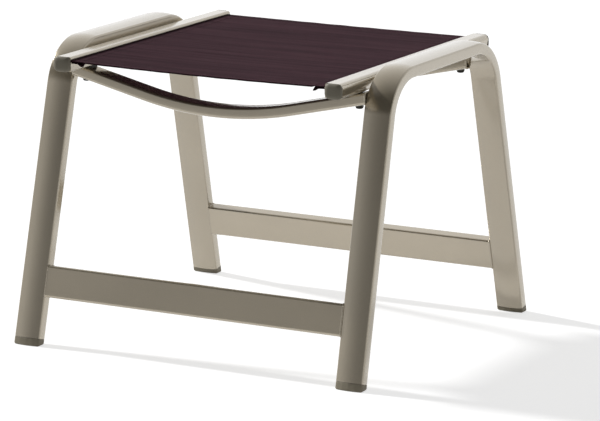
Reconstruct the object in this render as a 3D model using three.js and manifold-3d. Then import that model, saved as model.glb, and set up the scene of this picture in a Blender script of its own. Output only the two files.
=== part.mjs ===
import * as THREE from 'three';
import { mergeVertices } from 'three/addons/utils/BufferGeometryUtils.js';
import Module from 'manifold-3d';

// Outdoor footstool with a sling seat. Two side frames, each one bent flat tube, stand on four moulded feet.
// Two stretchers hold the legs apart, and two bowed crossbars carry the slotted rails that hold the sling.
// Millimetres: X runs left to right, Y front to back, Z up. The origin is on the floor, in the middle.

// Side frames
const frameSpacing = 500; // between the middles of the two top runs
const frameSplayDegrees = 0.75; // lean of each side frame, outward towards its feet
const footSpacing = 505; // front to rear between the leg centrelines, on the floor
const shoulderSpacing = 303; // front to rear between the points where leg and top run centrelines meet
const topLineHeight = 410.4; // centreline of the top run
const bendRadius = 67; // of the centreline
const legTubeWidth = 41;
const legTubeDepth = 20;
const legTubeCrown = 1.7; // bulge of each wide face, counted in the depth
const legTubeCorner = 3;
const legTubeWall = 2;

// Feet
const footCutHeight = 9; // of the leg centreline, where the tube ends
const footEdge = 1.6; // chamfer round the sole
const footPlugLength = 24;
const footFinDepth = 1.4;
const footFinThickness = 2;
const footFins = 2;

// Stretchers
const stretcherHeight = 45;
const stretcherThickness = 18;
const stretcherMiddleHeight = 88.5;
const stretcherCorner = 3;
const stretcherWall = 1.8;

// Crossbars
const barDepth = 30; // front to rear
const barThickness = 16.2;
const barBowRadius = 515; // of the centreline
const barBowHalfSpan = 115; // past this the ends run straight
const barCornerShare = 0.96; // of half the thickness
const barWall = 2;
const barEndWall = 2;

// Sling rails
const railLength = 446;
const railWidth = 27;
const railHeight = 20.5;
const railDrop = 21.9; // from the top run's centreline to the underside of the rail
const railSideGap = 3.5; // to the side frame
const railWall = 1.8;
const railUpperRound = 7; // depth of the rounded outer side above the ridge
const railLowerRound = 4.5; // depth of the rounded outer side below the ridge
const railRidgeHeight = 12.2;
const railRidgeStep = 0.7;
const railGroove = 0.8; // half width and depth of the drip groove under the top
const railGrooveDrop = 3.3; // below the top of the rail
const railInnerRound = 3.2; // along the top of the inner side
const railInnerCorner = 1;
const railBead = 0.9; // radius of the bead along the lower outer edge
const channelDrop = 5.5; // from the top of the rail to the middle of the channel
const channelPlay = 0.3; // round the hem
const slotHeight = 2.6;
const slotLip = 1.6; // thickness of the rail's inner side at the slot

// Rail end caps
const capFlatDepth = 1.5;
const capRound = 3;
const capInset = 0.4;
const capPlugLength = 15;
const capFinDepth = 1;
const capFinThickness = 1.8;
const capFinPitch = 5.5;
const capFins = 2;

// Sling
const slingThickness = 1;
const slingSag = 1.4;
const kederDiameter = 4;
const slingEndGap = 0.6; // from the sling's ends to the ends of the rails

// Fasteners and seats
const boltDiameter = 6;
const boltHeadDiameter = 10.5;
const boltHeadHeight = 3;
const boltHeadRim = 0.8;
const boltSocketAcross = 4;
const boltSocketDepth = 1.8;
const boltTip = 0.8;
const boltPastNut = 2.5;
const washerDiameter = 11.5;
const washerLeastThickness = 0.7;
const saddleLength = 17.5; // across the stool
const saddleRim = 1.6; // outboard of the bolt's hole
const saddleThinEdge = 1; // thickness at the outboard end
const saddleWidth = 16; // front to rear
const nutLength = 22;
const nutHeight = 5;
const nutCorner = 1.5;

// Clearances
const seatGap = 0.3; // between pieces that rest on each other
const boltClearance = 0.4; // all round a bolt
const plugClearance = 0.3; // all round a plug or a nut in its tube
const cutOverrun = 2; // how far a cut runs past the faces it opens
const leastCorner = 0.4; // where an inset would leave less

// Facets
const bendSteps = 8;
const bowSpans = 8;
const crownSteps = 4;
const cornerSteps = 3;
const barCornerSteps = 4;
const smallCornerSteps = 2;
const innerRoundSteps = 4;
const railSideSteps = 6;
const channelSteps = 12;
const roundSteps = 18;
const socketSides = 6;
const sagSteps = 14;

const halfTurn = 180;
const degree = Math.PI / halfTurn;
const splaySlope = Math.tan(frameSplayDegrees * degree);
const legLean = Math.atan2((footSpacing - shoulderSpacing) / 2, topLineHeight);
const bendRun = bendRadius * Math.tan((Math.PI / 2 - legLean) / 2);
const bendCentreY = shoulderSpacing / 2 - bendRun; // of the rear bends
const bendCentreZ = topLineHeight - bendRadius;

// Across the rail, from its middle, and up from its underside
const railHalfWidth = railWidth / 2;
const channelRadius = kederDiameter / 2 + plugClearance + slingThickness + channelPlay;
const channelX = slotLip + channelRadius - railHalfWidth;
const channelHeight = railHeight - channelDrop;
const chamberInnerX = channelX + channelRadius + railWall;
const chamberFloorEnd = railHalfWidth - railLowerRound;

const railBottomHeight = topLineHeight - railDrop;
const railMiddleX = (frameSpacing - legTubeWidth) / 2 - railSideGap - railHalfWidth;
const boltX = railMiddleX + (chamberInnerX + chamberFloorEnd) / 2;
const saddleOuterX = boltX + boltDiameter / 2 + boltClearance + saddleRim;
const saddleInnerX = saddleOuterX - saddleLength;

// The crossbars' heights follow from the rails that they carry, and their setback from the bends they meet
const barEndAngle = Math.asin(barBowHalfSpan / barBowRadius);
const barHalfHeight = barThickness / 2 / Math.cos(barEndAngle);
const saddleGap = seatGap / Math.cos(barEndAngle);
const barHeightAtSaddle = railBottomHeight - seatGap - saddleThinEdge - saddleGap - barHalfHeight;
const barMiddleHeight = barHeightAtSaddle - barRiseAt(saddleOuterX);
const barEndHeight = barMiddleHeight + barRiseAt((frameSpacing - legTubeWidth) / 2);
const barSetback = bendCentreY + Math.sqrt(bendRadius ** 2 - (barEndHeight - bendCentreZ) ** 2);

const frameFinish = { color: 0xb3aa97, roughness: 0.42, metalness: 0.55 };
const railFinish = { color: 0xbab2a1, roughness: 0.4, metalness: 0.55 };
const plasticFinish = { color: 0x55554a, roughness: 0.6, metalness: 0 };
const slingFinish = { color: 0x423036, roughness: 0.85, metalness: 0 };
const kederFinish = { color: 0x2a2426, roughness: 0.5, metalness: 0 };
const boltFinish = { color: 0x2b2b29, roughness: 0.45, metalness: 0.7 };
const nutFinish = { color: 0x9a9b9c, roughness: 0.4, metalness: 0.9 };

const wasm = await Module();
wasm.setup();

function toSolid(geometry) {
  const bare = geometry.clone();
  bare.deleteAttribute('normal');
  bare.deleteAttribute('uv');
  const merged = mergeVertices(bare);
  const vertProperties = new Float32Array(merged.attributes.position.array);
  const triVerts = new Uint32Array(merged.index.array);
  return new wasm.Manifold(new wasm.Mesh({ numProp: 3, vertProperties, triVerts }));
}

function toGeometry(solid) {
  const mesh = solid.getMesh();
  const geometry = new THREE.BufferGeometry();
  geometry.setAttribute('position', new THREE.BufferAttribute(mesh.vertProperties, 3));
  geometry.setIndex(new THREE.BufferAttribute(mesh.triVerts, 1));
  return geometry;
}

// Joins rings of equal point counts into one closed skin. A looped skin returns from its last ring to its
// first, as an open tube does when its bore's rings follow its outer ones. Otherwise both ends are filled.
function loft(rings, looped) {
  const count = rings[0].length;
  const points = rings.flat();
  const faces = [];
  const spans = looped ? rings.length : rings.length - 1;
  for (let span = 0; span < spans; span += 1) {
    const near = span * count;
    const far = ((span + 1) % rings.length) * count;
    for (let i = 0; i < count; i += 1) {
      const next = (i + 1) % count;
      faces.push(near + i, near + next, far + next, near + i, far + next, far + i);
    }
  }
  if (!looped) {
    const last = (rings.length - 1) * count;
    for (let i = 2; i < count; i += 1) {
      const before = i - 1;
      faces.push(0, i, before, last, last + before, last + i);
    }
  }
  const geometry = new THREE.BufferGeometry().setFromPoints(points);
  geometry.setIndex(faces);
  return geometry;
}

function mirrored(geometry, sideX, sideY) {
  const copy = geometry.clone();
  copy.deleteAttribute('normal');
  copy.deleteAttribute('uv');
  copy.scale(sideX, sideY, 1);
  if (sideX * sideY > 0) return copy;
  const merged = mergeVertices(copy);
  const order = merged.index.array;
  for (let i = 0; i < order.length; i += 3) {
    [order[i], order[i + 1]] = [order[i + 1], order[i]];
  }
  return merged;
}

function arcPoints(centreX, centreY, radiusX, radiusY, fromDegrees, toDegrees, steps) {
  const points = [];
  for (let i = 0; i <= steps; i += 1) {
    const angle = (fromDegrees + (toDegrees - fromDegrees) * i / steps) * degree;
    const x = centreX + radiusX * Math.cos(angle);
    const y = centreY + radiusY * Math.sin(angle);
    points.push(new THREE.Vector2(x, y));
  }
  return points;
}

// Outline of a tube or of its bore, counter-clockwise: rounded corners, flat sides, crowned top and bottom.
function tubeOutline(halfWidth, halfSide, crown, corner, steps) {
  const flat = halfWidth - corner;
  const crownPoints = [];
  for (let i = 1; crown > 0 && i < crownSteps; i += 1) {
    const across = 1 - 2 * i / crownSteps;
    crownPoints.push(new THREE.Vector2(flat * across, halfSide + crown * (1 - across * across)));
  }
  const top = [
    ...arcPoints(flat, halfSide - corner, corner, corner, 0, 90, steps),
    ...crownPoints,
    ...arcPoints(-flat, halfSide - corner, corner, corner, 90, 180, steps),
  ];
  const bottom = top.map((point) => new THREE.Vector2(-point.x, -point.y));
  return [...top, ...bottom];
}

function legOutline(inset) {
  const halfSide = legTubeDepth / 2 - legTubeCrown - inset;
  const corner = Math.max(legTubeCorner - inset, leastCorner);
  return tubeOutline(legTubeWidth / 2 - inset, halfSide, legTubeCrown, corner, cornerSteps);
}

// Middle of the right-hand side frame at a height, and its inner face
function frameMiddleAt(height) {
  return frameSpacing / 2 + (topLineHeight - height) * splaySlope;
}

function frameInnerAt(height) {
  return frameMiddleAt(height) - legTubeWidth / 2;
}

function onSideFrame(across, y, z) {
  return new THREE.Vector3(frameMiddleAt(z) + across, y, z);
}

// Stations of the side frame's centreline from the front foot to the rear foot, each with its outward normal
function framePath() {
  const footY = footCutHeight * Math.tan(legLean) - footSpacing / 2;
  const front = [{ y: footY, z: footCutHeight, normalY: -Math.cos(legLean), normalZ: Math.sin(legLean) }];
  for (let i = 0; i <= bendSteps; i += 1) {
    const angle = Math.PI - legLean - (Math.PI / 2 - legLean) * i / bendSteps;
    const normalY = Math.cos(angle);
    const normalZ = Math.sin(angle);
    const y = bendRadius * normalY - bendCentreY;
    const z = bendRadius * normalZ + bendCentreZ;
    front.push({ y, z, normalY, normalZ });
  }
  const rear = front.map((at) => ({ ...at, y: -at.y, normalY: -at.normalY })).reverse();
  return [...front, ...rear];
}

function sideFrame() {
  const path = framePath();
  const ringsOf = (outline) => path.map((at) => outline.map(
    (point) => onSideFrame(point.x, at.y + at.normalY * point.y, at.z + at.normalZ * point.y),
  ).reverse());
  const outer = ringsOf(legOutline(0));
  const bore = ringsOf(legOutline(legTubeWall));
  return loft([...outer, ...bore.reverse()], true);
}

// Foot of the right front leg: a sole cut level with the floor, a collar and a finned plug in the tube
function footCap() {
  const slope = { y: Math.sin(legLean), z: Math.cos(legLean) };
  const atAxis = (point, along) => onSideFrame(
    point.x,
    -footSpacing / 2 - point.y * slope.z + along * slope.y,
    point.y * slope.y + along * slope.z,
  );
  const level = (inset, height) => legOutline(inset).map(
    (point) => atAxis(point, (height - point.y * slope.y) / slope.z),
  );
  const square = (inset, along) => legOutline(inset).map((point) => atAxis(point, along));
  const cut = footCutHeight / slope.z;
  const fin = legTubeWall + plugClearance;
  const core = fin + footFinDepth;
  const rim = cut - seatGap;
  const rings = [level(footEdge, 0), level(0, footEdge), square(0, rim), square(core, rim)];
  const finPitch = footPlugLength / (footFins + 1);
  for (let i = 1; i <= footFins; i += 1) {
    const middle = cut + i * finPitch;
    rings.push(square(core, middle - footFinThickness / 2), square(fin, middle - footFinThickness / 2));
    rings.push(square(fin, middle + footFinThickness / 2), square(core, middle + footFinThickness / 2));
  }
  rings.push(square(core, cut + footPlugLength - footFinDepth));
  rings.push(square(core + footFinDepth, cut + footPlugLength));
  return loft(rings.map((ring) => ring.reverse()), false);
}

// Front stretcher, square to the front legs and ended on the side frames' inner faces
function stretcher() {
  const normal = { y: -Math.cos(legLean), z: Math.sin(legLean) };
  const up = { y: Math.sin(legLean), z: Math.cos(legLean) };
  const middleY = stretcherMiddleHeight * Math.tan(legLean) - footSpacing / 2;
  const ringsOf = (inset) => {
    const halfHeight = stretcherHeight / 2 - inset;
    const halfThickness = stretcherThickness / 2 - inset;
    const corner = Math.max(stretcherCorner - inset, leastCorner);
    const outline = tubeOutline(halfThickness, halfHeight, 0, corner, cornerSteps);
    return [-1, 1].map((side) => outline.map((point) => {
      const y = middleY + point.x * normal.y + point.y * up.y;
      const z = stretcherMiddleHeight + point.x * normal.z + point.y * up.z;
      return new THREE.Vector3(side * (frameInnerAt(z) - seatGap), y, z);
    }).reverse());
  };
  return loft([...ringsOf(0), ...ringsOf(stretcherWall).reverse()], true);
}

// Rise of a crossbar's centreline over its middle, on its straight right-hand end
function barRiseAt(x) {
  const bowRise = barBowRadius * (1 - Math.cos(barEndAngle));
  return bowRise + (x - barBowHalfSpan) * Math.tan(barEndAngle);
}

function barTopAt(x) {
  return barMiddleHeight + barRiseAt(x) + barHalfHeight;
}

function barUndersideAt(x) {
  return barMiddleHeight + barRiseAt(x) - barHalfHeight;
}

// Front crossbar before it is moved forward: a bowed tube with both ends closed
function crossbar() {
  const bowed = (inset, endInset) => {
    const halfThickness = barThickness / 2 - inset;
    const corner = halfThickness * barCornerShare;
    const outline = tubeOutline(barDepth / 2 - inset, halfThickness, 0, corner, barCornerSteps);
    const rings = [];
    for (let i = 0; i <= bowSpans; i += 1) {
      const angle = barEndAngle * (2 * i / bowSpans - 1);
      const centreZ = barMiddleHeight + barBowRadius;
      rings.push(outline.map((point) => {
        const radius = barBowRadius - point.y;
        return new THREE.Vector3(radius * Math.sin(angle), point.x, centreZ - radius * Math.cos(angle));
      }));
    }
    const end = (side) => outline.map((point) => {
      const towards = { x: Math.cos(barEndAngle), z: Math.sin(barEndAngle) };
      const startX = barBowHalfSpan - point.y * towards.z;
      const startZ = barMiddleHeight + barRiseAt(barBowHalfSpan) + point.y * towards.x;
      const reach = frameInnerAt(startZ) - seatGap - endInset - startX;
      const along = reach / (towards.x + towards.z * splaySlope);
      return new THREE.Vector3(side * (startX + along * towards.x), point.x, startZ + along * towards.z);
    });
    return toSolid(loft([end(-1), ...rings, end(1)], false));
  };
  const tube = bowed(0, 0).subtract(bowed(barWall, barEndWall));
  const holeTop = barTopAt(boltX + boltDiameter) + cutOverrun;
  const holeBottom = barUndersideAt(boltX - boltDiameter) - cutOverrun;
  const right = toSolid(boltHole(boltX, 0, holeBottom, holeTop));
  const left = toSolid(boltHole(-boltX, 0, holeBottom, holeTop));
  return toGeometry(tube.subtract(right).subtract(left));
}

function boltHole(x, y, fromZ, toZ) {
  const radius = boltDiameter / 2 + boltClearance;
  const hole = new THREE.CylinderGeometry(radius, radius, toZ - fromZ, roundSteps);
  hole.rotateX(Math.PI / 2);
  hole.translate(x, y, (fromZ + toZ) / 2);
  return hole;
}

// Rounded outer side of the rail from underside to top, moved in from the side and from both faces
function railOuterSide(sideInset, faceInset) {
  const upperX = railHalfWidth - railUpperRound;
  const lowerX = railHalfWidth - railLowerRound;
  const lowerHeight = railRidgeHeight - faceInset;
  const upperHeight = railHeight - railRidgeHeight - faceInset;
  const lowerReach = railLowerRound - sideInset;
  const upperReach = railUpperRound - sideInset;
  const lower = arcPoints(lowerX, railRidgeHeight, lowerReach, lowerHeight, -90, 0, railSideSteps);
  const upper = arcPoints(upperX, railRidgeHeight, upperReach, upperHeight, 0, 90, railSideSteps);
  return [...lower, ...upper.slice(1)];
}

function railHull(inset) {
  const innerX = -railHalfWidth + inset;
  const corner = railInnerCorner;
  const round = Math.max(railInnerRound - inset, leastCorner);
  const roof = railHeight - inset;
  return [
    ...arcPoints(innerX + corner, inset + corner, corner, corner, -180, -90, smallCornerSteps),
    ...railOuterSide(inset, inset),
    ...arcPoints(innerX + round, roof - round, round, round, 90, 180, innerRoundSteps),
  ];
}

function railProfile() {
  const lowerX = railHalfWidth - railLowerRound;
  const beadX = lowerX + railBead;
  const lowerDepth = railLowerRound - railRidgeStep;
  const lowerHeight = railRidgeHeight - railBead;
  const lower = arcPoints(lowerX, railRidgeHeight, lowerDepth, lowerHeight, -60, 0, railSideSteps);
  const upperX = railHalfWidth - railUpperRound;
  const upperHeight = railHeight - railRidgeHeight;
  const upper = arcPoints(upperX, railRidgeHeight, railUpperRound, upperHeight, 0, 90, railSideSteps);
  const aboveRidge = (height) => {
    const share = (height - railRidgeHeight) / upperHeight;
    return upperX + railUpperRound * Math.sqrt(1 - share * share);
  };
  const railGrooveHeight = railHeight - railGrooveDrop;
  const belowGroove = railGrooveHeight - railGroove;
  const overGroove = railGrooveHeight + railGroove;
  const groove = [
    new THREE.Vector2(aboveRidge(belowGroove), belowGroove),
    new THREE.Vector2(aboveRidge(railGrooveHeight) - railGroove, railGrooveHeight),
    new THREE.Vector2(aboveRidge(overGroove), overGroove),
  ];
  const upperBelow = upper.filter((point) => point.y < belowGroove);
  const upperOver = upper.filter((point) => point.y > overGroove);
  const mouth = Math.asin(slotHeight / 2 / channelRadius) / degree;
  const from = halfTurn - mouth;
  const channel = arcPoints(channelX, channelHeight, channelRadius, channelRadius, from, -from, channelSteps);
  const innerX = -railHalfWidth;
  const corner = railInnerCorner;
  const round = railInnerRound;
  const outline = [
    ...arcPoints(innerX + corner, corner, corner, corner, 180, 270, smallCornerSteps),
    ...arcPoints(beadX, railBead, railBead, railBead, -90, 60, cornerSteps),
    ...lower,
    ...upperBelow,
    ...groove,
    ...upperOver,
    ...arcPoints(innerX + round, railHeight - round, round, round, 90, 180, innerRoundSteps),
    new THREE.Vector2(innerX, channelHeight + slotHeight / 2),
    ...channel,
    new THREE.Vector2(innerX, channelHeight - slotHeight / 2),
  ];
  return new THREE.Shape(outline);
}

function chamberOutline(inset) {
  const innerX = chamberInnerX + inset;
  const faceInset = railWall + inset;
  const roof = railHeight - faceInset;
  const corner = railInnerCorner;
  const lowest = arcPoints(innerX + corner, faceInset + corner, corner, corner, -180, -90, smallCornerSteps);
  return [
    ...lowest,
    ...railOuterSide(railRidgeStep + faceInset, faceInset),
    ...arcPoints(innerX + corner, roof - corner, corner, corner, 90, 180, smallCornerSteps),
  ];
}

// Runs a shape that is drawn in X and Z along Y, centred on the middle of the stool
function alongY(shape, length) {
  const geometry = new THREE.ExtrudeGeometry(shape, { depth: length, bevelEnabled: false });
  geometry.rotateX(Math.PI / 2);
  geometry.translate(0, length / 2, 0);
  return geometry;
}

function slingRail() {
  const profile = railProfile();
  profile.holes.push(new THREE.Path(chamberOutline(0)));
  const rail = alongY(profile, railLength);
  rail.translate(railMiddleX, 0, railBottomHeight);
  const top = railBottomHeight + railWall + cutOverrun;
  let solid = toSolid(rail);
  for (const end of [-1, 1]) {
    solid = solid.subtract(toSolid(boltHole(boltX, end * barSetback, railBottomHeight - cutOverrun, top)));
  }
  return toGeometry(solid);
}

// Rings of a rail end cap stand across the rail, and their distance runs out from the rail's front end
function railCap() {
  const ring = (outline, distance) => outline.map((point) => {
    const y = -railLength / 2 - distance;
    return new THREE.Vector3(railMiddleX + point.x, y, railBottomHeight + point.y);
  });
  const flangeRings = [ring(railHull(capInset), seatGap), ring(railHull(capInset), capFlatDepth)];
  for (let i = 1; i <= cornerSteps; i += 1) {
    const angle = 90 * degree * i / cornerSteps;
    const inset = capInset + capRound * (1 - Math.cos(angle));
    flangeRings.push(ring(railHull(inset), capFlatDepth + capRound * Math.sin(angle)));
  }
  const fin = plugClearance;
  const core = plugClearance + capFinDepth;
  const plugRings = [ring(chamberOutline(core), seatGap + capRound / 2)];
  for (let i = 1; i <= capFins; i += 1) {
    const middle = -i * capFinPitch;
    const half = capFinThickness / 2;
    plugRings.push(ring(chamberOutline(core), middle + half), ring(chamberOutline(fin), middle + half));
    plugRings.push(ring(chamberOutline(fin), middle - half), ring(chamberOutline(core), middle - half));
  }
  plugRings.push(ring(chamberOutline(core), -capPlugLength));
  const flange = toSolid(loft(flangeRings, false));
  const plug = toSolid(loft(plugRings.reverse(), false));
  return toGeometry(flange.add(plug));
}

// Sling: one cloth whose side hems loop round the keder rods inside the rails' channels
const slingLength = railLength - 2 * slingEndGap;
const slingLevel = railBottomHeight + channelHeight;
const hemMiddleX = railMiddleX + channelX;
const slingFreeHalf = railMiddleX - railHalfWidth;

function slingSagAt(x) {
  const share = Math.min(Math.abs(x) / slingFreeHalf, 1);
  return slingSag * (1 - share * share);
}

function sling() {
  const hemBore = kederDiameter / 2 + plugClearance;
  const hemRadius = hemBore + slingThickness;
  const join = Math.asin(slingThickness / 2 / hemRadius) / degree;
  const face = (side) => {
    const points = [];
    for (let i = 0; i <= sagSteps; i += 1) {
      const x = slingFreeHalf * (1 - 2 * i / sagSteps);
      points.push(new THREE.Vector2(x, slingLevel - slingSagAt(x) + side * slingThickness / 2));
    }
    return points;
  };
  const right = arcPoints(hemMiddleX, slingLevel, hemRadius, hemRadius, join - 180, 180 - join, channelSteps);
  const left = arcPoints(-hemMiddleX, slingLevel, hemRadius, hemRadius, join, 360 - join, channelSteps);
  const outline = new THREE.Shape([...right, ...face(1), ...left, ...face(-1).reverse()]);
  for (const x of [-hemMiddleX, hemMiddleX]) {
    const bore = arcPoints(x, slingLevel, hemBore, hemBore, 0, 360, channelSteps);
    outline.holes.push(new THREE.Path(bore.slice(1)));
  }
  return alongY(outline, slingLength);
}

function kederRod() {
  const rod = new THREE.CylinderGeometry(kederDiameter / 2, kederDiameter / 2, slingLength, channelSteps);
  rod.translate(hemMiddleX, 0, slingLevel);
  return rod;
}

// Bevelled washer: level below for the bolt head, sloped above for the crossbar's underside
const washerTopAtBolt = barUndersideAt(boltX) - seatGap;
const washerSlope = Math.tan(barEndAngle);
const washerBottom = washerTopAtBolt - washerSlope * washerDiameter / 2 - washerLeastThickness;

function bevelWasher() {
  const ring = (radius, heightAt) => arcPoints(0, 0, radius, radius, 0, 360, roundSteps).slice(1).map(
    (point) => new THREE.Vector3(boltX + point.x, point.y - barSetback, heightAt(point.x)),
  );
  const sloped = (x) => washerTopAtBolt + x * washerSlope;
  const level = () => washerBottom;
  const outer = washerDiameter / 2;
  const bore = boltDiameter / 2 + boltClearance;
  return loft([ring(outer, level), ring(outer, sloped), ring(bore, sloped), ring(bore, level)], true);
}

// Saddle between the sloped end of a crossbar and the level underside of a rail
function saddle() {
  const top = railBottomHeight - seatGap;
  const underAt = (x) => barTopAt(x) + saddleGap;
  const wedge = new THREE.Shape([
    new THREE.Vector2(saddleInnerX, underAt(saddleInnerX)),
    new THREE.Vector2(saddleOuterX, underAt(saddleOuterX)),
    new THREE.Vector2(saddleOuterX, top),
    new THREE.Vector2(saddleInnerX, top),
  ]);
  const block = alongY(wedge, saddleWidth);
  block.translate(0, -barSetback, 0);
  const holeBottom = barTopAt(saddleInnerX) - cutOverrun;
  const hole = boltHole(boltX, -barSetback, holeBottom, railBottomHeight + cutOverrun);
  return toGeometry(toSolid(block).subtract(toSolid(hole)));
}

// Nut plate that slides in the rail's chamber
const nutBottom = railBottomHeight + railWall + seatGap;
const nutHalfWidth = (chamberFloorEnd - chamberInnerX) / 2 - plugClearance;

function nutPlate() {
  const flatX = nutHalfWidth - nutCorner;
  const flatY = nutLength / 2 - nutCorner;
  const plate = new THREE.Shape([
    ...arcPoints(flatX, flatY, nutCorner, nutCorner, 0, 90, cornerSteps),
    ...arcPoints(-flatX, flatY, nutCorner, nutCorner, 90, 180, cornerSteps),
    ...arcPoints(-flatX, -flatY, nutCorner, nutCorner, 180, 270, cornerSteps),
    ...arcPoints(flatX, -flatY, nutCorner, nutCorner, 270, 360, cornerSteps),
  ]);
  const bore = boltDiameter / 2 + boltClearance;
  plate.holes.push(new THREE.Path(arcPoints(0, 0, bore, bore, 0, 360, roundSteps).slice(1)));
  const geometry = new THREE.ExtrudeGeometry(plate, { depth: nutHeight, bevelEnabled: false });
  geometry.translate(boltX, -barSetback, nutBottom);
  return geometry;
}

// Bolt from below: low round head with a hexagon socket, shank up through the crossbar into the nut plate
function bolt() {
  const headTop = washerBottom - seatGap;
  const headBottom = headTop - boltHeadHeight;
  const tip = nutBottom + nutHeight + boltPastNut;
  const shank = boltDiameter / 2;
  const head = boltHeadDiameter / 2;
  const domeHeight = boltHeadHeight - boltHeadRim;
  const dome = arcPoints(0, headBottom + domeHeight, head, domeHeight, -45, 0, cornerSteps);
  const profile = [
    new THREE.Vector2(0, dome[0].y),
    ...dome,
    new THREE.Vector2(head, headTop),
    new THREE.Vector2(shank, headTop),
    new THREE.Vector2(shank, tip - boltTip),
    new THREE.Vector2(shank - boltTip, tip),
    new THREE.Vector2(0, tip),
  ];
  const body = new THREE.LatheGeometry(profile, roundSteps);
  body.rotateX(Math.PI / 2);
  const socketRadius = boltSocketAcross / 2 / Math.cos(Math.PI / socketSides);
  const socketLength = boltSocketDepth + cutOverrun;
  const socket = new THREE.CylinderGeometry(socketRadius, socketRadius, socketLength, socketSides);
  socket.rotateX(Math.PI / 2);
  socket.translate(0, 0, dome[0].y + boltSocketDepth - socketLength / 2);
  const cut = toGeometry(toSolid(body).subtract(toSolid(socket)));
  cut.translate(boltX, -barSetback, 0);
  return cut;
}

const stool = new THREE.Group();

function add(group, name, geometry, finish) {
  const mesh = new THREE.Mesh(geometry, new THREE.MeshStandardMaterial(finish));
  mesh.name = name;
  group.add(mesh);
}

const sides = [['left', -1], ['right', 1]];
const ends = [['front', 1], ['rear', -1]];

// Pieces that come once on each side
const perSide = [
  ['side_frame', sideFrame(), frameFinish],
  ['sling_rail', slingRail(), railFinish],
  ['keder_rod', kederRod(), kederFinish],
];

// Pieces that come once at the front and once at the rear
const perEnd = [['stretcher', stretcher(), frameFinish]];

// Pieces that come at each of the four corners
const perCorner = [
  ['foot_cap', footCap(), plasticFinish],
  ['rail_cap', railCap(), plasticFinish],
  ['saddle', saddle(), plasticFinish],
  ['bevel_washer', bevelWasher(), plasticFinish],
  ['bolt', bolt(), boltFinish],
  ['nut_plate', nutPlate(), nutFinish],
];

const frameGroup = new THREE.Group();
const seatGroup = new THREE.Group();
stool.add(frameGroup, seatGroup);

for (const [side, sideX] of sides) {
  for (const [piece, geometry, finish] of perSide) {
    const group = piece === 'side_frame' ? frameGroup : seatGroup;
    add(group, `${piece}_${side}`, mirrored(geometry, sideX, 1), finish);
  }
}
for (const [end, endY] of ends) {
  for (const [piece, geometry, finish] of perEnd) {
    add(frameGroup, `${piece}_${end}`, mirrored(geometry, 1, endY), finish);
  }
  const bar = crossbar();
  bar.translate(0, -endY * barSetback, 0);
  add(frameGroup, `crossbar_${end}`, bar, frameFinish);
}
for (const [end, endY] of ends) {
  for (const [side, sideX] of sides) {
    for (const [piece, geometry, finish] of perCorner) {
      const group = piece === 'foot_cap' ? frameGroup : seatGroup;
      add(group, `${piece}_${end}_${side}`, mirrored(geometry, sideX, endY), finish);
    }
  }
}
add(seatGroup, 'sling', sling(), slingFinish);

export default stool;
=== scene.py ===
import math
from collections import namedtuple

import bmesh
import bpy
from mathutils import Matrix, Vector


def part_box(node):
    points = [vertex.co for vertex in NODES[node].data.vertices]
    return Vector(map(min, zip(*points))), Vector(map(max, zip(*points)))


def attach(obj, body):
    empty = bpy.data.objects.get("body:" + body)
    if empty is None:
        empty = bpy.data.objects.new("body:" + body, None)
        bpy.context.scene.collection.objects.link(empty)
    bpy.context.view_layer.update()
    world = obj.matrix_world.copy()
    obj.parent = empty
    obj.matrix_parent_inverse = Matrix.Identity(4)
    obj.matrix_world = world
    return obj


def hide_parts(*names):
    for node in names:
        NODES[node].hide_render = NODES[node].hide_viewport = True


# Outdoor footstool with a sling seat, dressed over its solids.
# Metres: X runs from left to right, Y from front to back, Z up.
# Smooth side frames, crossbars, rail caps and cloth replace their solids.
# Weld beads, hems and stitches are added.

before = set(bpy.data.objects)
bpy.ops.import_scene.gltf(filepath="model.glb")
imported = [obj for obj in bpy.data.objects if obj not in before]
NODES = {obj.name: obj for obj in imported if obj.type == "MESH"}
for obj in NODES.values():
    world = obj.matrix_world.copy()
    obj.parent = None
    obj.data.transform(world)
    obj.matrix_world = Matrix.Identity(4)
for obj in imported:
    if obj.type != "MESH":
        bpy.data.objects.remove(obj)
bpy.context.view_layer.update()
BODY = "root"
SIDES = {"left": -1, "right": 1}
ENDS = {"front": -1, "rear": 1}
Corner = namedtuple("Corner", "x y z")


def solid_box(node):
    """Lowest and highest corner of a solid, rounded to leave out the noise of its mesh's numbers."""
    return [Corner(*(round(value, 7) for value in corner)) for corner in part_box(node)]


# Side frames: bent tubes that lean in seen from the side, and splay out downward seen from the front
LEG_HALF_WIDTH = 0.0205
LEG_HALF_DEPTH = 0.010
LEG_CROWN = 0.0017
LEG_CORNER = 0.003
LEG_LEAST_CORNER = 0.0004
LEG_WALL = 0.002
LEG_END = 0.009
BEND_RADIUS = 0.067
FOOT_HALF_SPACING = 0.2525
SHOULDER_HALF_SPACING = 0.1515
FRAME_HALF_SPACING = 0.25
FRAME_INNER = FRAME_HALF_SPACING - LEG_HALF_WIDTH
FRAME_SPLAY = math.tan(math.radians(0.75))
FRAME_TOP_LINE = solid_box("side_frame_right")[1].z - LEG_HALF_DEPTH
LEG_LEAN = math.atan2(FOOT_HALF_SPACING - SHOULDER_HALF_SPACING, FRAME_TOP_LINE)
BEND_CENTRE_Y = SHOULDER_HALF_SPACING - BEND_RADIUS * math.tan((math.pi / 2 - LEG_LEAN) / 2)
BEND_STEPS = 36
CORNER_STEPS = 6
CROWN_STEPS = 16

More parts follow.
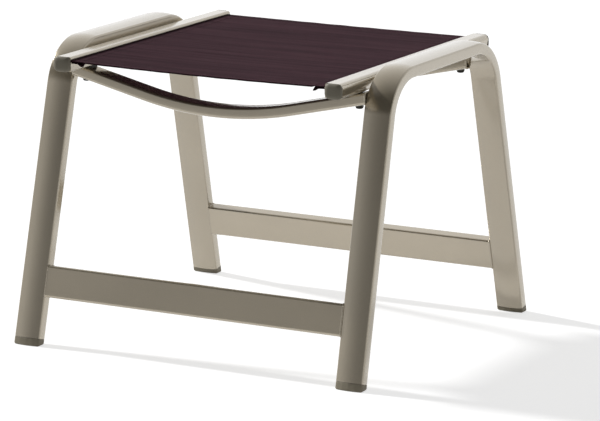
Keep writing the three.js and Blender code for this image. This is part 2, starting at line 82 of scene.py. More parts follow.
# Crossbars: a bow in the middle and straight ends
BAR_LOW, BAR_HIGH = solid_box("crossbar_rear")
BAR_SETBACK = (BAR_LOW.y + BAR_HIGH.y) / 2
BAR_HALF_DEPTH = (BAR_HIGH.y - BAR_LOW.y) / 2
BAR_HALF_THICKNESS = 0.0081
BAR_MIDDLE = BAR_LOW.z + BAR_HALF_THICKNESS
BAR_CORNER = 0.004
BAR_BOW_RADIUS = 0.515
BAR_BOW_HALF_SPAN = 0.115
BAR_END_ANGLE = math.asin(BAR_BOW_HALF_SPAN / BAR_BOW_RADIUS)
BAR_END_GAP = 0.0003
BAR_SPANS = 48

# Stretchers
STRETCHER_LOW, STRETCHER_HIGH = solid_box("stretcher_front")
STRETCHER_MIDDLE = (STRETCHER_LOW.z + STRETCHER_HIGH.z) / 2
STRETCHER_HALF_THICKNESS = 0.009
STRETCHER_HALF_HEIGHT = 0.0225
STRETCHER_CORNER = 0.003

# Weld beads
WELD_RADIUS = 0.0016
WELD_RIPPLE = 0.07
WELD_RIPPLE_PITCH = 0.0019
WELD_SINK = 0.4
WELD_STEP = 0.0004
WELD_SIDES = 10
WELD_CORNER_STEPS = 4

# Rail caps
RAIL_LOW, RAIL_HIGH = solid_box("sling_rail_right")
RAIL_MIDDLE_X = (RAIL_LOW.x + RAIL_HIGH.x) / 2
CAP_DROP = 0.00045
CAP_MIDDLE = (RAIL_LOW.z + RAIL_HIGH.z) / 2 - CAP_DROP
CAP_HALF_WIDTH = 0.0133
CAP_HALF_HEIGHT = 0.0108
CAP_CORNER = 0.0075
CAP_LEAST_CORNER = 0.0016
CAP_GAP = 0.0003
CAP_RIM = 0.0009
CAP_DOME_RISE = 0.0037
CAP_DOME_INSET = 0.0065
CAP_DOME_STEPS = 8

# Sling, between the rails' inner edges and looped round the keder rods
ROD_LOW, ROD_HIGH = solid_box("keder_rod_right")
ROD_MIDDLE_X = (ROD_LOW.x + ROD_HIGH.x) / 2
ROD_RADIUS = (ROD_HIGH.x - ROD_LOW.x) / 2
CLOTH_THICKNESS = 0.001
LOOP_PLAY = 0.0003
LOOP_RADIUS = ROD_RADIUS + LOOP_PLAY + CLOTH_THICKNESS
LOOP_STEPS = 14
SLING_LEVEL = (ROD_LOW.z + ROD_HIGH.z) / 2
SLING_HALF_LENGTH = ROD_HIGH.y
SLING_STATIONS = 90
SLING_STEPS = 64
SLING_FREE_HALF = RAIL_LOW.x
SAG_FRONT = 0.0020
SAG_REAR = 0.0006
EDGE_ZONE = 0.02
EDGE_RIPPLE = 0.00018
EDGE_RIPPLE_PITCH = 0.046
EDGE_RIPPLE_TURN = 3
YARN_PITCH = 0.0015

# Turned ends under the sling. A fold point is a distance from the end and a depth under the cloth's middle
HEM_TOP = 0.00062
END_HEM = 0.014
END_HEM_BOTTOM = 0.0017
END_HEM_FOLD = ((0.0004, HEM_TOP), (0.0002, 0.0012), (0.0007, END_HEM_BOTTOM))
END_HEM_GAP = 0.001
END_HEM_STEPS = 60

# Side flaps under the sling. A tab point is a distance from the flap's inner edge and a share of the drop
SIDE_HEM = 0.019
SIDE_HEM_THICKNESS = 0.0011
SIDE_HEM_OUTER_GAP = 0.0004
SIDE_HEM_END_GAP = 0.0003
SIDE_HEM_STEPS = 110
TAB_DROP = 0.0052
TAB_LENGTH = 0.011
TAB_CURVE = 1.6
TAB_SHARES = ((0, 1.0), (0.004, 0.9), (0.009, 0.35), (SIDE_HEM - SIDE_HEM_OUTER_GAP, 0.3))

# Stitches. A profile point is a place along the half length and a share of the radius
STITCH_LENGTH = 0.0028
STITCH_GAP = 0.0012
STITCH_RADIUS = 0.00026
STITCH_INSET = 0.003
STITCH_END = 0.004
STITCH_SIDES = 6
STITCH_SINK = 0.6
STITCH_PROFILE = ((-1, 0.2), (-0.75, 0.85), (0, 1.0), (0.75, 0.85), (1, 0.2))

# Angles in degrees over which an edge stays sharp
TUBE_EDGE = 30
SOFT_EDGE = 40
THREAD_EDGE = 60
WELD_EDGE = 80

# Camera, fitted to the photograph
CAMERA_AT = (2.5411, -4.6158, 1.3332)
CAMERA_YAW = 28.445
CAMERA_PITCH = 12.444
CAMERA_ROLL = 0.093
CAMERA_LENS = 227.8
CAMERA_SENSOR = 36
CAMERA_NEAR = 0.05
CAMERA_FAR = 60

# Colours. Most of a noise texture's values lie between the low and the high one
NOISE_LOW = 0.3
NOISE_HIGH = 0.7
PAINT_SHADES = (
    (0.30, (0.405, 0.345, 0.244)),
    (0.52, (0.463, 0.396, 0.282)),
    (0.74, (0.521, 0.448, 0.325)),
)
CLOTH_SHADES = (
    (0.36, (0.029, 0.0115, 0.0170)),
    (0.50, (0.050, 0.0205, 0.0285)),
    (0.64, (0.076, 0.034, 0.045)),
)

# Floor, key light and studio. A span is of the direction looked in, and levels are its ends' brightness
FLOOR_REACH = 14
FLOOR_FRONT_EDGE = -1.05
FLOOR_LIFT = 0.68
KEY_DIRECTION = (-0.8427, 0.050, 0.536)
KEY_STRENGTH = 2.7
KEY_WIDTH = 4
AMBIENT = 0.45
BACK_SPAN = (-0.55, 0.80)
BACK_LEVELS = (0.04, 1.0)
LOW_WALL_SPAN = (-1.0, -0.7)
LOW_WALL_LEVELS = (0.34, 0.80)
LOW_WALL_TOP = (0.05, 0.50)


def make_camera():
    data = bpy.data.cameras.new("camera")
    data.sensor_width = CAMERA_SENSOR
    data.lens = CAMERA_LENS
    data.clip_start = CAMERA_NEAR
    data.clip_end = CAMERA_FAR
    camera = bpy.data.objects.new("camera", data)
    bpy.context.scene.collection.objects.link(camera)
    turn = (Matrix.Rotation(math.radians(CAMERA_YAW), 4, "Z")
            @ Matrix.Rotation(math.radians(90 - CAMERA_PITCH), 4, "X")
            @ Matrix.Rotation(math.radians(CAMERA_ROLL), 4, "Z"))
    camera.matrix_world = Matrix.Translation(CAMERA_AT) @ turn
    bpy.context.scene.camera = camera


class Nodes:
    """A node tree, with short ways to add and join nodes."""

    def __init__(self, tree):
        self.tree = tree

    def add(self, kind, **values):
        node = self.tree.nodes.new(kind)
        for key, value in values.items():
            setattr(node, key, value)
        return node

    def join(self, out, into):
        self.tree.links.new(out, into)

    def math(self, operation, a, b=0):
        node = self.add("ShaderNodeMath", operation=operation)
        for socket, value in zip(node.inputs, (a, b)):
            if isinstance(value, (int, float)):
                socket.default_value = value
            else:
                self.join(value, socket)
        return node.outputs[0]

    def span(self, value, low, high, from_low=NOISE_LOW, from_high=NOISE_HIGH, curve="LINEAR"):
        """The value moved from one range to another, and held at the ends of it."""
        node = self.add("ShaderNodeMapRange", interpolation_type=curve)
        node.inputs["From Min"].default_value = from_low
        node.inputs["From Max"].default_value = from_high
        node.inputs["To Min"].default_value = low
        node.inputs["To Max"].default_value = high
        self.join(value, node.inputs["Value"])
        return node.outputs["Result"]

    def split(self, place):
        node = self.add("ShaderNodeSeparateXYZ")
        self.join(place, node.inputs[0])
        return node.outputs


class Shader(Nodes):
    """A material's node tree, placed by the object's own coordinates."""

    def __init__(self, name):
        self.material = bpy.data.materials.new(name)
        self.material.use_nodes = True
        super().__init__(self.material.node_tree)
        self.principled = self.tree.nodes["Principled BSDF"]
        self.place = self.add("ShaderNodeTexCoord").outputs["Object"]

    def stretched(self, scale):
        mapping = self.add("ShaderNodeMapping")
        mapping.inputs["Scale"].default_value = scale
        self.join(self.place, mapping.inputs["Vector"])
        return mapping.outputs["Vector"]

    def noise(self, scale, detail, rough=0.5, place=None):
        node = self.add("ShaderNodeTexNoise")
        node.inputs["Scale"].default_value = scale
        node.inputs["Detail"].default_value = detail
        node.inputs["Roughness"].default_value = rough
        self.join(place or self.place, node.inputs["Vector"])
        return node.outputs["Fac"]

    def blend(self, *parts):
        """Sum of values, each times its share."""
        scaled = [self.math("MULTIPLY", value, share) for value, share in parts]
        total = scaled.pop()
        while scaled:
            total = self.math("ADD", scaled.pop(), total)
        return total

    def ramp(self, value, stops):
        node = self.add("ShaderNodeValToRGB")
        elements = node.color_ramp.elements
        while len(elements) < len(stops):
            elements.new(0.5)
        for element, (at, colour) in zip(elements, stops):
            element.position = at
            element.color = (*colour, 1)
        self.join(value, node.inputs["Fac"])
        return node.outputs["Color"]

    def two_tones(self, value, dark, light):
        return self.ramp(value, ((NOISE_LOW, dark), (NOISE_HIGH, light)))

    def bump(self, height, strength, distance, rounding=None):
        """Relief from a height. A rounding also softens the sharp edges to that radius."""
        node = self.add("ShaderNodeBump")
        node.inputs["Strength"].default_value = strength
        node.inputs["Distance"].default_value = distance
        self.join(height, node.inputs["Height"])
        if rounding:
            bevel = self.add("ShaderNodeBevel", samples=8)
            bevel.inputs["Radius"].default_value = rounding
            self.join(bevel.outputs["Normal"], node.inputs["Normal"])
        self.join(node.outputs["Normal"], self.principled.inputs["Normal"])

    def set(self, **values):
        for key, value in values.items():
            self.principled.inputs[key.replace("_", " ")].default_value = value

    def use(self, name, out):
        self.join(out, self.principled.inputs[name])


def satin_paint(name, lightness, rounding):
    """Cloudy champagne paint with fine flecks, under a clear coat."""
    shader = Shader(name)
    shader.set(Metallic=0.50, Coat_Weight=1.0, Coat_Roughness=0.10, Coat_IOR=1.85)
    clouds = shader.noise(scale=7, detail=3)
    flecks = shader.noise(scale=2600, detail=1)
    shades = [(at, [lightness * part for part in shade]) for at, shade in PAINT_SHADES]
    shader.use("Base Color", shader.ramp(shader.blend((clouds, 0.45), (flecks, 0.55)), shades))
    shader.use("Roughness", shader.span(shader.noise(scale=60, detail=3), 0.17, 0.22))
    grain = shader.noise(scale=1500, detail=2)
    shader.bump(grain, strength=0.03, distance=0.00025, rounding=rounding)
    return shader.material


def moulded(name, dark, light, rough=(0.5, 0.62)):
    """Matt moulded plastic with a fine grain."""
    shader = Shader(name)
    clouds = shader.noise(scale=35, detail=3)
    grain = shader.noise(scale=2200, detail=2)
    shader.use("Base Color", shader.two_tones(shader.blend((clouds, 0.6), (grain, 0.4)), dark, light))
    shader.use("Roughness", shader.span(grain, *rough))
    shader.bump(grain, strength=0.2, distance=0.0002, rounding=0.001)
    return shader.material


def metal(name, dark, light, rough, scale):
    """Bare or plated metal with small spots."""
    shader = Shader(name)
    shader.set(Metallic=1.0)
    spots = shader.noise(scale=scale, detail=3)
    shader.use("Base Color", shader.two_tones(spots, dark, light))
    shader.use("Roughness", shader.span(spots, *rough))
    shader.bump(spots, strength=0.08, distance=0.0001, rounding=0.0008)
    return shader.material


def woven_cloth():
    """Round coated yarns across and along the seat, over and under one another, in uneven bands."""
    shader = Shader("sling_weave")
    axes = shader.split(shader.place)
    turn = math.pi / YARN_PITCH
    across = shader.math("SINE", shader.math("MULTIPLY", axes["X"], turn))
    along = shader.math("SINE", shader.math("MULTIPLY", axes["Y"], turn))
    over = shader.math("GREATER_THAN", shader.math("MULTIPLY", across, along), 0)
    mix = shader.add("ShaderNodeMix", data_type="FLOAT")
    shader.join(over, mix.inputs[0])
    shader.join(shader.math("ABSOLUTE", along), mix.inputs[2])
    shader.join(shader.math("ABSOLUTE", across), mix.inputs[3])
    height = mix.outputs[0]
    bands = shader.noise(scale=1.0, detail=3, rough=0.65, place=shader.stretched((4, 120, 4)))
    patches = shader.noise(scale=14, detail=2)
    # The yarn height also goes into the colour: where a yarn dips under another it is painted darker, as
    # painted shade in the weave's hollows.
    tone_and_weave_shade = shader.blend((height, 0.25), (bands, 0.65), (patches, 0.1))
    shader.use("Base Color", shader.ramp(tone_and_weave_shade, CLOTH_SHADES))
    shader.use("Roughness", shader.span(height, 0.8, 0.95, from_low=0, from_high=1))
    shader.set(Specular_IOR_Level=0.06)
    shader.bump(height, strength=0.4, distance=0.0003)
    return shader.material


def lay_materials():
    """Gives every solid its material, and returns the two that the scene's own pieces use as well."""
    bent = satin_paint("champagne_powder_coat", 1.0, None)
    straight = satin_paint("champagne_powder_coat_on_straight_tube", 1.1, 0.0015)
    # Saddles and bevel washers: dark plastic, made darker still to stand for the shade in the gap between
    # rail and crossbar, so partly painted shade.
    dark = moulded("dark_olive_plastic_and_gap_shade", (0.040, 0.038, 0.030), (0.060, 0.057, 0.046))
    plastic = moulded("olive_grey_plastic", (0.23, 0.208, 0.157), (0.32, 0.290, 0.222))
    sole = moulded("olive_grey_foot_plastic", (0.35, 0.308, 0.225), (0.46, 0.408, 0.305))
    vinyl = moulded("keder_vinyl", (0.016, 0.013, 0.014), (0.028, 0.023, 0.025), (0.4, 0.5))
    steel = metal("blackened_steel", (0.022, 0.022, 0.020), (0.045, 0.044, 0.041), (0.35, 0.5), 900)
    zinc = metal("zinc_plate", (0.50, 0.51, 0.52), (0.62, 0.63, 0.64), (0.3, 0.45), 500)
    materials = {"side_frame": bent, "stretcher": straight, "crossbar": straight, "sling_rail": straight,
                 "keder_rod": vinyl, "foot_cap": sole, "rail_cap": plastic, "saddle": dark,
                 "bevel_washer": dark, "bolt": steel, "nut_plate": zinc, "sling": vinyl}
    longest_first = sorted(materials, key=len, reverse=True)
    for name, node in NODES.items():
        kind = next(kind for kind in longest_first if name.startswith(kind))
        node.data.materials.clear()
        node.data.materials.append(materials[kind])
    return bent, plastic


def add_piece(name, mesh, material, edge):
    """Adds a mesh to the scene, smooth but for edges sharper than the given angle."""
    piece = bpy.data.objects.new(name, mesh)
    bpy.context.scene.collection.objects.link(piece)
    mesh.materials.append(material)
    mesh.shade_smooth()
    mesh.set_sharp_from_angle(angle=math.radians(edge))
    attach(piece, BODY)
    return piece


def grid_mesh(name, rows, ring=False):
    """Closed mesh of quads over rows of points, where each row is a loop. The two end rows are capped.
    In a ring, the last row joins the first instead."""
    mesh = bpy.data.meshes.new(name)
    count = len(rows[0])
    faces = []
    for r in range(len(rows) if ring else len(rows) - 1):
        after = (r + 1) % len(rows)
        for i in range(count):
            j = (i + 1) % count
            faces.append((r * count + i, r * count + j, after * count + j, after * count + i))
    if not ring:
        faces.append(tuple(reversed(range(count))))
        faces.append(tuple((len(rows) - 1) * count + i for i in range(count)))
    mesh.from_pydata([tuple(point) for row in rows for point in row], [], faces)
    work = bmesh.new()
    work.from_mesh(mesh)
    bmesh.ops.recalc_face_normals(work, faces=work.faces)
    work.to_mesh(mesh)
    work.free()
    return mesh


def frame_inner_at(height):
    """Distance from the middle to a side frame's inner face. It grows downward, as the frames splay."""
    return FRAME_INNER + (FRAME_TOP_LINE - height) * FRAME_SPLAY


def rounded_section(half_depth, half_height, corner, steps=CORNER_STEPS):
    """Outline of a tube with rounded corners: depth, height and the outward direction of each point."""
    points = []
    for turn, (depth_side, height_side) in enumerate(((1, 1), (-1, 1), (-1, -1), (1, -1))):
        for i in range(steps + 1):
            angle = math.radians(90 * turn + 90 * i / steps)
            across, up = math.cos(angle), math.sin(angle)
            depth = depth_side * (half_depth - corner) + corner * across
            height = height_side * (half_height - corner) + corner * up
            points.append((depth, height, across, up))
    return points


def leg_section(inset):
    """Outline of the leg tube or of its bore: rounded corners, flat sides and crowned wide faces."""
    corner = max(LEG_CORNER - inset, LEG_LEAST_CORNER)
    flat = LEG_HALF_WIDTH - inset - corner
    shoulder = LEG_HALF_DEPTH - LEG_CROWN - inset
    half = []
    for sign, start in ((1, 0), (-1, 90)):
        for i in range(CORNER_STEPS + 1):
            angle = math.radians(start + 90 * i / CORNER_STEPS)
            across = sign * flat + corner * math.cos(angle)
            half.append((across, shoulder - corner + corner * math.sin(angle)))
        if sign == 1:
            for i in range(1, CROWN_STEPS):
                share = 1 - 2 * i / CROWN_STEPS
                half.append((flat * share, shoulder + LEG_CROWN * (1 - share * share)))
    return [*half, *((-across, -up) for across, up in half)]


def side_frame_path():
    """Stations of the tube's centreline from front foot to rear foot: y, z and the outward normal."""
    foot = LEG_END * math.tan(LEG_LEAN) - FOOT_HALF_SPACING
    bend_centre_z = FRAME_TOP_LINE - BEND_RADIUS
    front = [(foot, LEG_END, -math.cos(LEG_LEAN), math.sin(LEG_LEAN))]
    for i in range(BEND_STEPS + 1):
        angle = math.pi - LEG_LEAN - (math.pi / 2 - LEG_LEAN) * i / BEND_STEPS
        across, up = math.cos(angle), math.sin(angle)
        front.append((BEND_RADIUS * across - BEND_CENTRE_Y, BEND_RADIUS * up + bend_centre_z, across, up))
    return [*front, *((-y, z, -across, up) for y, z, across, up in reversed(front))]


def side_frame_rows(hand, inset):
    """The tube's outline at each station of its path, or its bore's when there is an inset."""
    section = leg_section(inset)
    rows = []
    for y, z, normal_y, normal_z in side_frame_path():
        row = []
        for across, out in section:
            height = z + normal_z * out
            middle = frame_inner_at(height) + LEG_HALF_WIDTH
            row.append(Vector((hand * (middle + across), y + normal_y * out, height)))
        rows.append(row)
    return rows


def make_side_frame(side, hand, material):
    """One bent flat tube, smooth round its bends and open at both feet, where the caps plug it."""
    name = f"side_tube_{side}"
    rows = [*side_frame_rows(hand, 0), *reversed(side_frame_rows(hand, LEG_WALL))]
    tube = add_piece(name, grid_mesh(name, rows, ring=True), material, TUBE_EDGE)
    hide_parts(f"side_frame_{side}")


def bar_section(steps=CORNER_STEPS):
    return rounded_section(BAR_HALF_DEPTH, BAR_HALF_THICKNESS, BAR_CORNER, steps)


def bar_bow_place(angle, height):
    """x and z of a point in the bow of a crossbar, at a height over its centreline."""
    radius = BAR_BOW_RADIUS - height
    return radius * math.sin(angle), BAR_MIDDLE + BAR_BOW_RADIUS - radius * math.cos(angle)


def bar_end_point(sign, hand, depth, height, gap=0.0):
    """Point of a crossbar's section where its straight end meets the side frame, or stops short of it."""
    x, z = bar_bow_place(BAR_END_ANGLE, height)
    slope = math.tan(BAR_END_ANGLE)
    along = (frame_inner_at(z) - gap - x) / (1 + slope * FRAME_SPLAY)
    return Vector((hand * (x + along), sign * BAR_SETBACK + depth, z + along * slope))


def make_crossbar(end, sign, material):
    """Bowed tube of rounded rectangular section, with straight ends cut to the splayed side frames."""
    section = [(depth, height) for depth, height, _, _ in bar_section()]

    def cut(hand):
        return [bar_end_point(sign, hand, depth, height, BAR_END_GAP) for depth, height in section]

    rows = [cut(-1)]
    for i in range(BAR_SPANS + 1):
        angle = BAR_END_ANGLE * (2 * i / BAR_SPANS - 1)
        row = []
        for depth, height in section:
            x, z = bar_bow_place(angle, height)
            row.append(Vector((x, sign * BAR_SETBACK + depth, z)))
        rows.append(row)
    rows.append(cut(1))
    name = f"crossbar_tube_{end}"
    bar = add_piece(name, grid_mesh(name, rows), material, TUBE_EDGE)
    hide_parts(f"crossbar_{end}")


def bar_weld_path(sign, hand):
    path = []
    for depth, height, across, up in bar_section(WELD_CORNER_STEPS):
        path.append((bar_end_point(sign, hand, depth, height), Vector((0, across, up))))
    return path


def stretcher_weld_path(sign, hand):
    section = rounded_section(
        STRETCHER_HALF_THICKNESS, STRETCHER_HALF_HEIGHT, STRETCHER_CORNER, WELD_CORNER_STEPS)
    y = sign * (FOOT_HALF_SPACING - STRETCHER_MIDDLE * math.tan(LEG_LEAN))
    outward_axis = Vector((0, sign * math.cos(LEG_LEAN), math.sin(LEG_LEAN)))
    up_axis = Vector((0, -sign * math.sin(LEG_LEAN), math.cos(LEG_LEAN)))
    path = []
    for depth, height, across, up in section:
        point = Vector((0, y, STRETCHER_MIDDLE)) + outward_axis * depth + up_axis * height
        point.x = hand * frame_inner_at(point.z)
        path.append((point, outward_axis * across + up_axis * up))
    return path


def finer(path):
    """The closed path with points added on its long straight runs."""
    points = []
    for (point, outward), (after, after_outward) in zip(path, [*path[1:], path[0]]):
        count = max(1, round((after - point).length / WELD_STEP))
        for i in range(count):
            share = i / count
            points.append((point.lerp(after, share), outward.lerp(after_outward, share).normalized()))
    return points


def weld_bead(name, path, material):
    """Rippled bead round a tube's end. The path holds each point and its outward direction."""
    axis = Vector((1, 0, 0))
    travelled = 0.0
    before = path[0][0]
    rows = []
    for point, outward in path:
        travelled += (point - before).length
        before = point
        radius = WELD_RADIUS * (1 + WELD_RIPPLE * math.sin(travelled * 2 * math.pi / WELD_RIPPLE_PITCH))
        centre = point - outward * WELD_RADIUS * (WELD_SINK + WELD_SINK * abs(outward.y))
        row = []
        for k in range(WELD_SIDES):
            angle = 2 * math.pi * k / WELD_SIDES
            row.append(centre + axis * (radius * math.cos(angle)) + outward * (radius * math.sin(angle)))
        rows.append(row)
    add_piece(name, grid_mesh(name, rows, ring=True), material, WELD_EDGE)


def make_welds(material):
    for end, sign in ENDS.items():
        for side, hand in SIDES.items():
            weld_bead(f"weld_crossbar_{end}_{side}", finer(bar_weld_path(sign, hand)), material)
            weld_bead(f"weld_stretcher_{end}_{side}", finer(stretcher_weld_path(sign, hand)), material)


def make_rail_cap(end, sign, side, hand, material):
    """Domed end of a rail, with rounder corners than the rail: a plain rim, then a quarter of an ellipse."""
    profile = [(CAP_GAP, 0.0)]
    for i in range(CAP_DOME_STEPS + 1):
        angle = math.pi / 2 * i / CAP_DOME_STEPS
        reach = CAP_GAP + CAP_RIM + CAP_DOME_RISE * math.sin(angle)
        profile.append((reach, CAP_DOME_INSET * (1 - math.cos(angle))))
    rows = []
    for reach, inset in profile:
        corner = max(CAP_CORNER - inset / 2, CAP_LEAST_CORNER)
        section = rounded_section(CAP_HALF_WIDTH - inset, CAP_HALF_HEIGHT - inset, corner)
        y = sign * (RAIL_HIGH.y + reach)
        x = hand * RAIL_MIDDLE_X
        rows.append([Vector((x + across, y, CAP_MIDDLE + up)) for across, up, _, _ in section])
    name = f"rail_cap_dome_{end}_{side}"
    cap = add_piece(name, grid_mesh(name, rows), material, SOFT_EDGE)
    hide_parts(f"rail_cap_{end}_{side}")


def sling_height(x, y):
    """Height of the cloth's middle. It sags between the rails and ripples slightly at both ends."""
    share = min(abs(x) / SLING_FREE_HALF, 1)
    along = (y + SLING_HALF_LENGTH) / (2 * SLING_HALF_LENGTH)
    sag = SAG_FRONT + (SAG_REAR - SAG_FRONT) * along
    edge = max(0, 1 - (SLING_HALF_LENGTH - abs(y)) / EDGE_ZONE)
    ripple = EDGE_RIPPLE * edge * math.sin(x * 2 * math.pi / EDGE_RIPPLE_PITCH + EDGE_RIPPLE_TURN * along)
    return SLING_LEVEL - sag * (1 - share * share) + ripple * (1 - share)


def rod_loop(hand, y):
    """The cloth's turn round one keder rod, from its upper face to its lower one."""
    join = math.asin(CLOTH_THICKNESS / 2 / LOOP_RADIUS)
    points = []
    for i in range(LOOP_STEPS + 1):
        angle = join + (2 * math.pi - 2 * join) * i / LOOP_STEPS
        x = hand * (ROD_MIDDLE_X - LOOP_RADIUS * math.cos(angle))
        points.append(Vector((x, y, SLING_LEVEL + LOOP_RADIUS * math.sin(angle))))
    return points


def sling_section(y):
    """Outline of the cloth across the seat, as one closed band with a loop round each keder rod."""
    places = [SLING_FREE_HALF * (1 - 2 * i / SLING_STEPS) for i in range(SLING_STEPS + 1)]
    upper = [Vector((x, y, sling_height(x, y) + CLOTH_THICKNESS / 2)) for x in places]
    lower = [Vector((x, y, sling_height(x, y) - CLOTH_THICKNESS / 2)) for x in reversed(places)]
    return [*upper, *rod_loop(-1, y), *lower, *reversed(rod_loop(1, y))]


def make_sling(material):
    stations = [SLING_HALF_LENGTH * (2 * i / SLING_STATIONS - 1) for i in range(SLING_STATIONS + 1)]
    mesh = grid_mesh("sling_cloth", [sling_section(y) for y in stations])
    sling = add_piece("sling_cloth", mesh, material, SOFT_EDGE)
    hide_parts("sling")
    return sling


def strip(name, section_at, steps, material):
    """A thin closed strip. section_at gives its section at a place from -1 to 1 along it."""
    mesh = grid_mesh(name, [section_at(2 * i / steps - 1) for i in range(steps + 1)])
    return add_piece(name, mesh, material, SOFT_EDGE)


def end_hem(end, sign, material):
    """The sling's end, turned under: a second layer below it, rounded at the fold."""
    def section(place):
        x = place * (SLING_FREE_HALF - SIDE_HEM - END_HEM_GAP)
        points = []
        for inset, down in (*END_HEM_FOLD, (END_HEM, END_HEM_BOTTOM), (END_HEM, HEM_TOP)):
            y = sign * (SLING_HALF_LENGTH - inset)
            points.append(Vector((x, y, sling_height(x, y) - down)))
        return points
    return strip(f"sling_end_hem_{end}", section, END_HEM_STEPS, material)


def side_hem(side, hand, material):
    """The flap of the pocket round a keder rod, sewn down under the cloth. Its front corner droops."""
    def section(place):
        y = place * (SLING_HALF_LENGTH - SIDE_HEM_END_GAP)
        droop = TAB_DROP * max(0.0, 1 - (y + SLING_HALF_LENGTH) / TAB_LENGTH) ** TAB_CURVE
        upper = []
        for inset, share in TAB_SHARES:
            x = SLING_FREE_HALF - SIDE_HEM + inset
            upper.append(Vector((hand * x, y, sling_height(x, y) - HEM_TOP - droop * share)))
        lower = [point - Vector((0, 0, SIDE_HEM_THICKNESS)) for point in reversed(upper)]
        return [*upper, *lower]
    return strip(f"sling_side_hem_{side}", section, SIDE_HEM_STEPS, material)


def stitch_lines():
    """Start and end of each line of stitches, along both side flaps and both turned ends."""
    lines = []
    for sign in (-1, 1):
        x = sign * (SLING_FREE_HALF - SIDE_HEM + STITCH_INSET)
        reach = SLING_HALF_LENGTH - STITCH_END
        lines.append((Vector((x, -reach, 0)), Vector((x, reach, 0))))
        y = sign * (SLING_HALF_LENGTH - END_HEM + STITCH_INSET)
        reach = SLING_FREE_HALF - STITCH_END
        lines.append((Vector((-reach, y, 0)), Vector((reach, y, 0))))
    return lines


def add_stitch(work, middle, way):
    """One short raised thread, thin at both ends."""
    side = Vector((-way.y, way.x, 0))
    level = sling_height(middle.x, middle.y) + CLOTH_THICKNESS / 2
    rings = []
    for along, size in STITCH_PROFILE:
        centre = middle + way * (along * STITCH_LENGTH / 2)
        ring = []
        for k in range(STITCH_SIDES):
            angle = 2 * math.pi * k / STITCH_SIDES
            offset = side * (math.cos(angle) * STITCH_RADIUS * size)
            rise = STITCH_RADIUS * size * math.sin(angle) + STITCH_RADIUS * (size - STITCH_SINK)
            ring.append(work.verts.new((centre.x + offset.x, centre.y + offset.y, level + rise)))
        rings.append(ring)
    for ring, after in zip(rings, rings[1:]):
        for k in range(STITCH_SIDES):
            j = (k + 1) % STITCH_SIDES
            work.faces.new((ring[k], ring[j], after[j], after[k]))
    work.faces.new(list(reversed(rings[0])))
    work.faces.new(rings[-1])


def make_stitches(material):
    """Lock stitches along the side flaps and the turned ends."""
    pitch = STITCH_LENGTH + STITCH_GAP
    work = bmesh.new()
    for start, end in stitch_lines():
        way = (end - start).normalized()
        for i in range(int((end - start).length / pitch)):
            add_stitch(work, start + way * ((i + 0.5) * pitch), way)
    bmesh.ops.recalc_face_normals(work, faces=work.faces)
    mesh = bpy.data.meshes.new("sling_stitches")
    work.to_mesh(mesh)
    work.free()
    return add_piece("sling_stitches", mesh, material, THREAD_EDGE)


def make_floor():
    """Pale floor. It looks white to the camera and in reflections, and keeps the object's shadow."""
    shader = Shader("pale_floor")
    ray = shader.add("ShaderNodeLightPath").outputs
    mirrored = shader.math("MAXIMUM", ray["Is Glossy Ray"], ray["Is Transmission Ray"])
    seen = shader.math("MAXIMUM", ray["Is Camera Ray"], mirrored)
    pale = shader.add("ShaderNodeBsdfDiffuse")
    pale_tone = shader.two_tones(shader.noise(scale=3, detail=2), (0.62, 0.62, 0.62), (0.64, 0.64, 0.64))
    shader.join(pale_tone, pale.inputs["Color"])
    plain = shader.add("ShaderNodeBsdfDiffuse")
    plain_tone = shader.two_tones(shader.noise(scale=3, detail=2), (0.60, 0.60, 0.60), (0.62, 0.62, 0.62))
    shader.join(plain_tone, plain.inputs["Color"])
    lift = shader.add("ShaderNodeEmission")
    lift.inputs["Strength"].default_value = FLOOR_LIFT
    lifted = shader.add("ShaderNodeAddShader")
    shader.join(pale.outputs[0], lifted.inputs[0])
    shader.join(lift.outputs[0], lifted.inputs[1])
    choose = shader.add("ShaderNodeMixShader")
    shader.join(seen, choose.inputs[0])
    shader.join(plain.outputs[0], choose.inputs[1])
    shader.join(lifted.outputs[0], choose.inputs[2])
    shader.join(choose.outputs[0], shader.tree.nodes["Material Output"].inputs["Surface"])
    mesh = bpy.data.meshes.new("floor")
    front = [(-FLOOR_REACH, FLOOR_FRONT_EDGE, 0), (FLOOR_REACH, FLOOR_FRONT_EDGE, 0)]
    rear = [(FLOOR_REACH, FLOOR_REACH, 0), (-FLOOR_REACH, FLOOR_REACH, 0)]
    mesh.from_pydata([*front, *rear], [], [(0, 1, 2, 3)])
    mesh.materials.append(shader.material)
    floor = bpy.data.objects.new("floor", mesh)
    bpy.context.scene.collection.objects.link(floor)


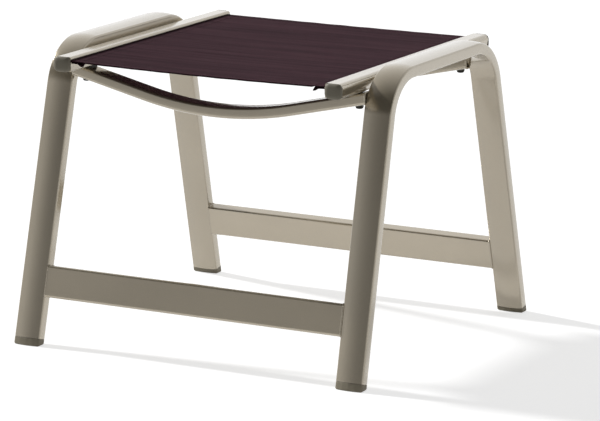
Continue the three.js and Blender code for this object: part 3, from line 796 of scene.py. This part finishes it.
def make_world():
    """The studio. The camera sees it white. The object has it white behind and overhead,
    and dark in front, above a dim low wall."""
    world = bpy.data.worlds.new("studio")
    bpy.context.scene.world = world
    world.use_nodes = True
    nodes = Nodes(world.node_tree)
    ray = nodes.add("ShaderNodeLightPath").outputs
    axes = nodes.split(nodes.add("ShaderNodeTexCoord").outputs["Generated"])
    back = nodes.span(axes["Y"], *BACK_LEVELS, *BACK_SPAN)
    wall_level = nodes.span(axes["Y"], *LOW_WALL_LEVELS, *LOW_WALL_SPAN)
    wall_top = nodes.span(axes["Z"], 1.0, 0.0, *LOW_WALL_TOP, curve="SMOOTHSTEP")
    walls = nodes.math("MAXIMUM", back, nodes.math("MULTIPLY", wall_top, wall_level))
    mirrored = nodes.math("MAXIMUM", ray["Is Glossy Ray"], ray["Is Transmission Ray"])
    level = nodes.math("ADD", nodes.math("MULTIPLY", mirrored, 1 - AMBIENT), AMBIENT)
    strength = nodes.math("MAXIMUM", nodes.math("MULTIPLY", level, walls), ray["Is Camera Ray"])
    background = nodes.tree.nodes["Background"]
    background.inputs["Color"].default_value = (1, 1, 1, 1)
    nodes.join(strength, background.inputs["Strength"])


def make_key():
    data = bpy.data.lights.new("key", "SUN")
    data.energy = KEY_STRENGTH
    data.angle = math.radians(KEY_WIDTH)
    lamp = bpy.data.objects.new("key", data)
    bpy.context.scene.collection.objects.link(lamp)
    lamp.rotation_euler = (-Vector(KEY_DIRECTION)).to_track_quat("-Z", "Y").to_euler()


make_camera()
tube_paint, cap_plastic = lay_materials()
weave = woven_cloth()
for side, hand in SIDES.items():
    make_side_frame(side, hand, tube_paint)
for end, sign in ENDS.items():
    make_crossbar(end, sign, tube_paint)
    for side, hand in SIDES.items():
        make_rail_cap(end, sign, side, hand, cap_plastic)
make_welds(tube_paint)
sling = make_sling(weave)
hems = [end_hem(end, sign, weave) for end, sign in ENDS.items()]
hems += [side_hem(side, hand, weave) for side, hand in SIDES.items()]
hems.append(make_stitches(weave))
make_floor()
make_world()
make_key()
bpy.context.scene.view_settings.view_transform = "Standard"
